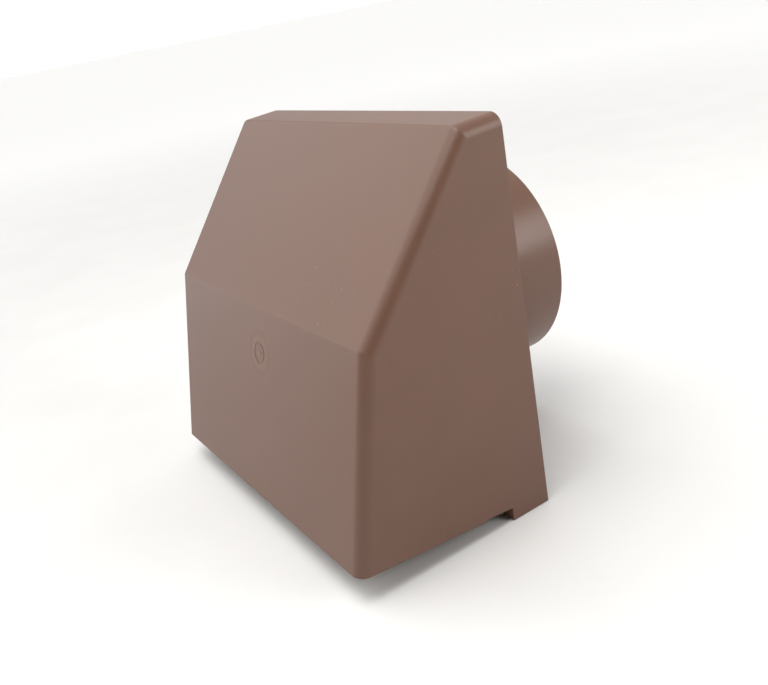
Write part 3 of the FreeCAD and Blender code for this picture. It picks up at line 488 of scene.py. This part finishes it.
def push_on_clip(name, towards):
    """A spring-steel push-on clip: a flat ring with fingers that lean along the pin."""
    low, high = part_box("pin_retaining_clips")
    pin_low, pin_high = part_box("flap_hinge_pin")
    centre = (pin_low + pin_high) / 2
    outer = (high.z - low.z) / 2
    grip = (pin_high.z - pin_low.z) / 2 + 0.02 * MM
    ring = outer * 0.70
    spokes = 60
    bpy.ops.object.select_all(action="DESELECT")
    bpy.ops.mesh.primitive_circle_add(vertices=spokes, radius=outer, fill_type="NOTHING",
                                      location=(0, 0, 0))
    piece = bpy.context.object
    bpy.ops.object.mode_set(mode="EDIT")
    for before, after in ((outer, ring), (ring, grip)):
        bpy.ops.mesh.extrude_edges_move()
        bpy.ops.transform.resize(value=(after / before, after / before, 1.0))
    bpy.ops.transform.translate(value=(0, 0, FINGER_LEAN))
    bpy.ops.mesh.select_mode(type="FACE")
    bpy.ops.mesh.select_all(action="DESELECT")
    bpy.ops.object.mode_set(mode="OBJECT")
    for face in piece.data.polygons:
        turn = round(math.atan2(face.center.y, face.center.x) / math.tau * spokes - 0.5) % spokes
        face.select = face.center.xy.length < ring and turn % (spokes // FINGERS) == 0
    bpy.ops.object.mode_set(mode="EDIT")
    bpy.ops.mesh.delete(type="FACE")
    bpy.ops.mesh.select_all(action="SELECT")
    bpy.ops.mesh.normals_make_consistent(inside=False)
    bpy.ops.object.mode_set(mode="OBJECT")
    sheet = piece.modifiers.new("sheet", "SOLIDIFY")
    sheet.thickness = CLIP_SHEET
    sheet.offset = 0.0
    apply_all(piece)
    piece.name = name
    piece.data.name = name
    edge = high.x - FINGER_LEAN if towards > 0 else low.x + FINGER_LEAN
    turn = Matrix.Rotation(towards * math.pi / 2, 4, "Y")
    piece.data.transform(Matrix.Translation((edge, centre.y, centre.z)) @ turn)
    smooth(piece)
    settle(piece, "housing", "stainless", spring_steel, "pin_retaining_clips")


push_on_clip("push_on_clip_right", 1)
push_on_clip("push_on_clip_left", -1)


# ---------------------------------------------------------------- woven insect screen
WIRE = 0.125 * MM               # half the wire's thickness
PITCH = 1.6 * MM
SCREW_INSET = 4.0 * MM          # from the cloth's edges to each screw
SCREW_ROOM = 2.0 * MM           # radius left clear round each screw


def wavy_wire():
    """Two pitches of one wire along X, over the first crossing and under the next."""
    bpy.ops.object.select_all(action="DESELECT")
    bpy.ops.mesh.primitive_cylinder_add(vertices=4, radius=WIRE * 1.12, depth=2 * PITCH,
                                        end_fill_type="NOTHING", location=(PITCH, 0, 0),
                                        rotation=(0, math.pi / 2, 0))
    piece = bpy.context.object
    bpy.ops.object.transform_apply(location=True, rotation=True, scale=True)
    bpy.ops.object.mode_set(mode="EDIT")
    bpy.ops.mesh.select_mode(type="EDGE")
    bpy.ops.mesh.select_all(action="DESELECT")
    bpy.ops.object.mode_set(mode="OBJECT")
    for edge in piece.data.edges:
        ends = [piece.data.vertices[index].co.x for index in edge.vertices]
        edge.select = abs(ends[0] - ends[1]) > PITCH
    bpy.ops.object.mode_set(mode="EDIT")
    bpy.ops.mesh.subdivide(number_cuts=3)
    bpy.ops.mesh.select_mode(type="VERT")
    for place, lift in ((0.0, WIRE), (PITCH, -WIRE), (2 * PITCH, WIRE)):
        bpy.ops.mesh.select_all(action="DESELECT")
        bpy.ops.object.mode_set(mode="OBJECT")
        for vertex in piece.data.vertices:
            vertex.select = abs(vertex.co.x - place) < 0.1 * PITCH
        bpy.ops.object.mode_set(mode="EDIT")
        bpy.ops.transform.translate(value=(0, 0, lift))
    bpy.ops.object.mode_set(mode="OBJECT")
    return piece


def another_wire(wire, matrix):
    only(wire)
    bpy.ops.object.duplicate()
    copy = bpy.context.object
    copy.data.transform(matrix)
    return copy


def woven_cell():
    """Two wires each way, woven: the piece of cloth that repeats."""
    over = wavy_wire()
    quarter = Matrix.Rotation(math.pi / 2, 4, "Z")
    turned_over = Matrix.Rotation(math.pi, 4, "X")
    wires = [over,
             another_wire(over, Matrix.Translation((0, PITCH, 0)) @ turned_over),
             another_wire(over, quarter @ turned_over),
             another_wire(over, Matrix.Translation((PITCH, 0, 0)) @ quarter)]
    bpy.ops.object.select_all(action="DESELECT")
    for wire in wires:
        wire.select_set(True)
    bpy.context.view_layer.objects.active = over
    bpy.ops.object.join()
    return bpy.context.object


def woven_screen():
    """Woven wire cloth cut to the sheet's outline, with room for the four screws."""
    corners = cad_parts["insect_screen"].data.vertices
    sheet = [MOUTH.inverted() @ corner.co for corner in corners]
    rear = max(co.y for co in sheet)
    front = min(co.y for co in sheet)
    level = (max(co.z for co in sheet) + min(co.z for co in sheet)) / 2
    rear_half = max(co.x for co in sheet if co.y > rear - 5 * MM)
    front_half = max(co.x for co in sheet if co.y < front + 5 * MM)

    cloth = woven_cell()
    cloth.name = "woven_screen"
    cloth.data.name = "woven_screen"
    across = math.ceil(rear_half / PITCH) + 1
    along = math.ceil((rear - front) / (2 * PITCH)) + 1
    for count, step in ((across, (2 * PITCH, 0, 0)), (along, (0, 2 * PITCH, 0))):
        repeat = cloth.modifiers.new("repeat", "ARRAY")
        repeat.count = count
        repeat.use_relative_offset = False
        repeat.use_constant_offset = True
        repeat.constant_offset_displace = step
        repeat.use_merge_vertices = True
        repeat.merge_threshold = 0.02 * MM
    apply_all(cloth)
    cloth.data.transform(Matrix.Translation((-across * PITCH, front - 0.5 * PITCH, level)))

    slant = (rear_half - front_half) / (rear - front)
    cuts = [((0, rear, 0), (0, 1, 0)), ((0, front, 0), (0, -1, 0)),
            ((rear_half, rear, 0), (1, -slant, 0)), ((-rear_half, rear, 0), (-1, -slant, 0))]
    only(cloth)
    bpy.ops.object.mode_set(mode="EDIT")
    for point, outward in cuts:
        bpy.ops.mesh.select_all(action="SELECT")
        bpy.ops.mesh.bisect(plane_co=point, plane_no=outward, clear_outer=True, use_fill=True)
    bpy.ops.mesh.select_mode(type="VERT")
    bpy.ops.mesh.select_all(action="DESELECT")
    bpy.ops.object.mode_set(mode="OBJECT")
    for vertex in cloth.data.vertices:
        x, y = abs(vertex.co.x), vertex.co.y
        vertex.select = any(math.hypot(x - half, y - depth) < SCREW_ROOM
                            for half, depth in ((rear_half - SCREW_INSET, rear - SCREW_INSET),
                                                (front_half - SCREW_INSET, front + SCREW_INSET)))
    bpy.ops.object.mode_set(mode="EDIT")
    bpy.ops.mesh.delete(type="VERT")
    bpy.ops.object.mode_set(mode="OBJECT")
    cloth.data.transform(MOUTH)
    only(cloth)
    bpy.ops.object.shade_smooth()
    settle(cloth, "housing", "screen_wire", wire_steel, "insect_screen")


woven_screen()


# ---------------------------------------------------------------- floor, light and camera
FLOOR_SIZE = 60.0
FLOOR_GAP = 0.2 * MM            # the floor lies this far under the vent


def pale_floor():
    """A wide pale floor that shows only from above, painted paler far from the vent where less
    light reaches it.
    """
    bpy.ops.object.select_all(action="DESELECT")
    bpy.ops.mesh.primitive_plane_add(size=FLOOR_SIZE, location=(0, 0, cad_low.z - FLOOR_GAP))
    floor = bpy.context.object
    floor.name = "studio_floor"
    finish = Finish("studio_floor")
    soft = finish.noise(14.0, detail=3.0)
    near = finish.mix(soft.above(0.3, 0.7), grey(0.74), grey(0.76))
    # painted light: the floor's colour grows paler with distance, to make up for the light that
    # falls off far from the lamps
    far_away = finish.distance((0, 0, 0)).above(0.4, 1.8)
    finish.set(Base_Color=finish.mix(far_away, near, grey(0.95)), Roughness=0.85,
               Specular_IOR_Level=0.1)
    under = finish.node("ShaderNodeNewGeometry", output="Backfacing")
    clear = finish.node("ShaderNodeBsdfTransparent")
    cover = Signal(finish, finish.shader.outputs["BSDF"])
    one_sided = finish.node("ShaderNodeMixShader", {}, {0: under, 1: cover, 2: clear})
    finish.feed(finish.tree.nodes["Material Output"].inputs["Surface"], one_sided)
    give(floor, finish.material)


WARM = (1.0, 0.985, 0.95)


def hang_lamp(name, kind, power, place, towards):
    light = bpy.data.lights.new(name, kind)
    light.energy = power
    light.color = WARM
    lamp = bpy.data.objects.new(name, light)
    bpy.context.scene.collection.objects.link(lamp)
    lamp.location = place
    lamp.rotation_euler = towards.to_track_quat("-Z", "Y").to_euler()
    return light


def softbox(name, place, aim, width, height, power):
    light = hang_lamp(name, "AREA", power, place, Vector(aim) - Vector(place))
    light.shape = "RECTANGLE"
    light.size = width
    light.size_y = height


def soft_sun(name, comes_from, spread, strength):
    """Light from a wide part of the ceiling, even over the whole floor."""
    light = hang_lamp(name, "SUN", strength, (0, 0, 0), -Vector(comes_from))
    light.angle = math.radians(spread)


SHADED_WALL = Vector((0.80, -0.50, 0.25))   # towards the wall that is in shade
WALL_FADE = (-0.2, 0.9)                     # from bright to shaded, as cosines from it
BRIGHT_WALLS = 1.02
DIM_WALL = 0.02
BEAM_SIDE = Vector((0.0, 0.9, -0.4))        # square to a dark beam that crosses the ceiling
BEAM_EDGE = (0.06, 0.32)                    # the beam's soft edge, as sines from its middle
BEAM_LIGHT = 0.25


def studio_air():
    """Pale walls all round, the one at the right and in front of the vent in shade."""
    world = bpy.data.worlds.new("studio_air")
    bpy.context.scene.world = world
    world.use_nodes = True
    air = Nodes(world.node_tree)
    way = air.node("ShaderNodeTexCoord", output="Generated")

    def towards(direction):
        return air.node("ShaderNodeVectorMath", {"operation": "DOT_PRODUCT"},
                        {0: way, 1: direction.normalized()}, output="Value")

    walls = BRIGHT_WALLS + (DIM_WALL - BRIGHT_WALLS) * towards(SHADED_WALL).above(*WALL_FADE)
    ceiling = BEAM_LIGHT + (1.0 - BEAM_LIGHT) * abs(towards(BEAM_SIDE)).above(*BEAM_EDGE)
    backdrop = air.node("ShaderNodeLightPath", output="Is Camera Ray")
    background = air.tree.nodes["Background"]
    air.feed(background.inputs["Color"], grey(1.0))
    air.feed(background.inputs["Strength"], backdrop.or_more(walls * ceiling))


def studio_light():
    studio_air()
    soft_sun("ceiling_light", (-0.45, -0.28, 0.9), 85.0, 1.9)
    softbox("overhead_softbox", (0.16, -0.20, 0.62), (0, -0.03, 0), 0.35, 0.35, 2.1)
    softbox("rear_right_softbox", (0.92, 0.60, 0.46), (0.03, 0, 0), 0.6, 0.6, 6.2)
    softbox("front_left_softbox", (-0.85, -0.72, 0.08), (-0.05, -0.08, -0.02), 0.6, 0.3, 1.0)


def studio_camera():
    """Looks down at the vent from its right front corner, leaning to one side."""
    place = Vector((0.29434, -0.18104, 0.12152))
    aim = Vector((0.0015, -0.0129, -0.0203))
    lean = math.radians(11.317)
    towards = (aim - place).normalized()
    right = towards.cross(Vector((0, 0, 1))).normalized()
    turned = Matrix.Rotation(lean, 3, towards)
    right = turned @ right
    up = right.cross(towards)
    lens = bpy.data.cameras.new("studio_camera")
    lens.lens = 37.848
    lens.sensor_width = 36.0
    lens.sensor_fit = "HORIZONTAL"
    lens.clip_start = 0.01
    camera = bpy.data.objects.new("studio_camera", lens)
    bpy.context.scene.collection.objects.link(camera)
    camera.matrix_world = Matrix.Translation(place) @ Matrix(
        (right, up, -towards)).transposed().to_4x4()
    bpy.context.scene.camera = camera
    bpy.context.scene.view_settings.view_transform = "Standard"


pale_floor()
studio_light()
studio_camera()
